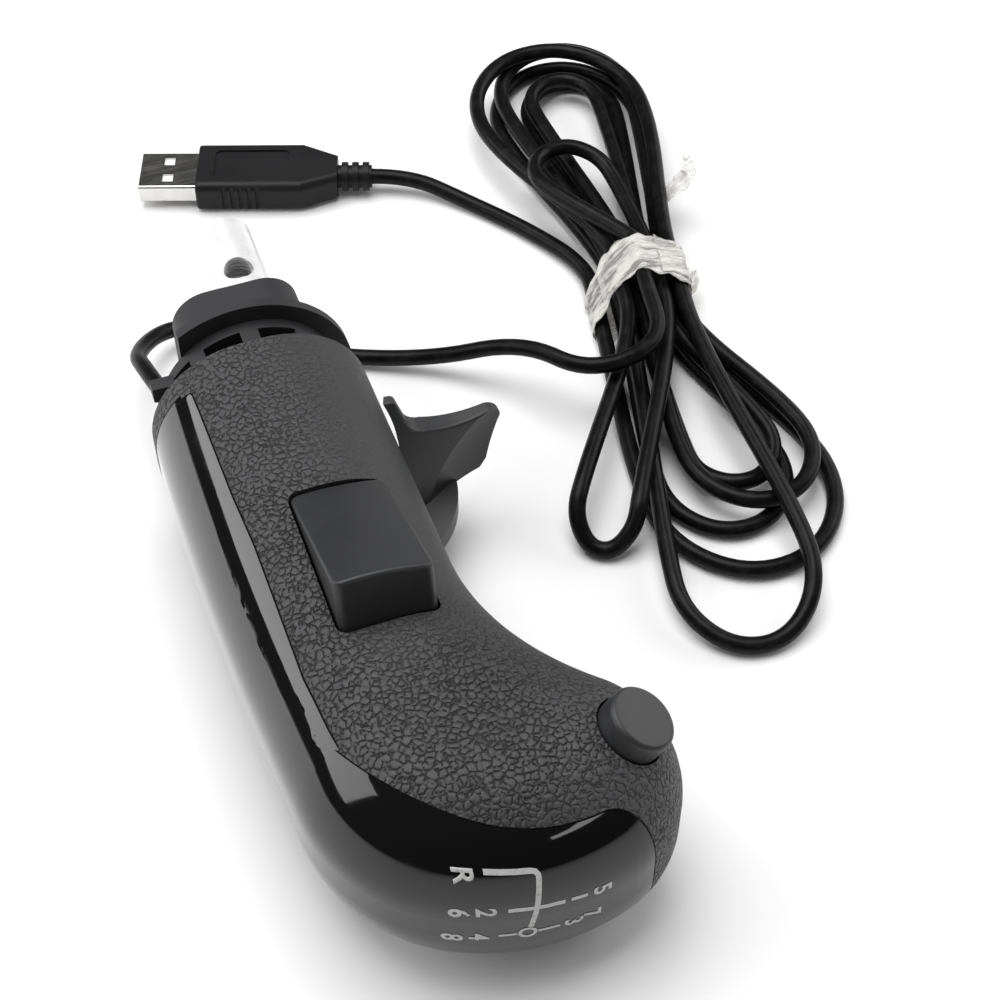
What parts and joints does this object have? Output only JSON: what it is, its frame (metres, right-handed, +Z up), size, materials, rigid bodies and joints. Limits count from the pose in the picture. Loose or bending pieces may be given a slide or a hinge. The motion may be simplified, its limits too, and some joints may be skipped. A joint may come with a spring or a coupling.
{
  "type": "usb gear shifter",
  "caption": "Gear-knob game controller on its side: rocker, range lever, thumb button, adapter rod and a tied USB lead.",
  "frame": {"origin": "on the surface that the controller lies on, below the middle of its box without the lead", "axes": "+Z up from that surface; +Y along the handle to the adapter rod; +X to the front with the range lever"},
  "size_m": [0.1374, 0.229, 0.0545],
  "materials": {
    "leather_grip": "moulded leather grain",
    "gloss_black": "gloss",
    "matte_black": "smooth matte",
    "collar_plastic": "fine matte",
    "inner_plastic": "matte",
    "switch_black": "matte",
    "chip_black": "matte",
    "board_green": "solder mask",
    "screw_steel": "zinc plated",
    "aluminium": "turned",
    "cord_black": "satin",
    "plug_black": "satin",
    "plug_steel": "pressed",
    "tongue_white": "satin",
    "contact_gold": "plated",
    "clear_tape": "wrinkled clear tape"
  },
  "bodies": {
    "knob": {"grip_shell_left": "leather_grip", "grip_shell_right": "leather_grip", "gloss_cover": "gloss_black", "shell_screws": "screw_steel", "rocker_cradle": "inner_plastic", "rocker_switches": "switch_black", "lever_pin": "screw_steel", "lever_washer": "screw_steel", "lever_switch": "switch_black", "button_guide": "inner_plastic", "button_switch": "switch_black", "main_board": "board_green", "board_chips": "chip_black", "board_screws": "screw_steel", "neck_cage": "collar_plastic", "collar": "collar_plastic", "adapter_rod": "aluminium", "rod_pin": "screw_steel", "cable_grommet": "cord_black", "cord_knob_lead": "cord_black", "cord_hank": "cord_black", "cord_plug_lead": "cord_black", "cable_tie": "clear_tape", "plug_strain_relief": "plug_black", "plug_overmould": "plug_black", "plug_shell": "plug_steel", "plug_tongue": "tongue_white", "plug_contacts": "contact_gold"},
    "rocker": {"splitter_rocker": "matte_black", "rocker_pin": "screw_steel"},
    "lever": {"range_lever": "matte_black"},
    "button": {"thumb_button": "matte_black"}
  },
  "joints": [
    {"name": "rocker_tilt", "type": "hinge", "parent": "knob", "child": "rocker", "pos_m": [-0.0073, -0.02115, 0.041], "axis": [1, 0, 0], "range_deg": [0, 14]},
    {"name": "lever_turn", "type": "hinge", "parent": "knob", "child": "lever", "pos_m": [0.0015, 0.0155, 0.0115], "axis": [0, 0, 1], "range_deg": [0, 20]},
    {"name": "button_press", "type": "slide", "parent": "knob", "child": "button", "axis": [-0.48, 0.14, -0.866], "range_m": [0, 0.0015], "stiffness_N_per_m": 700}
  ]
}
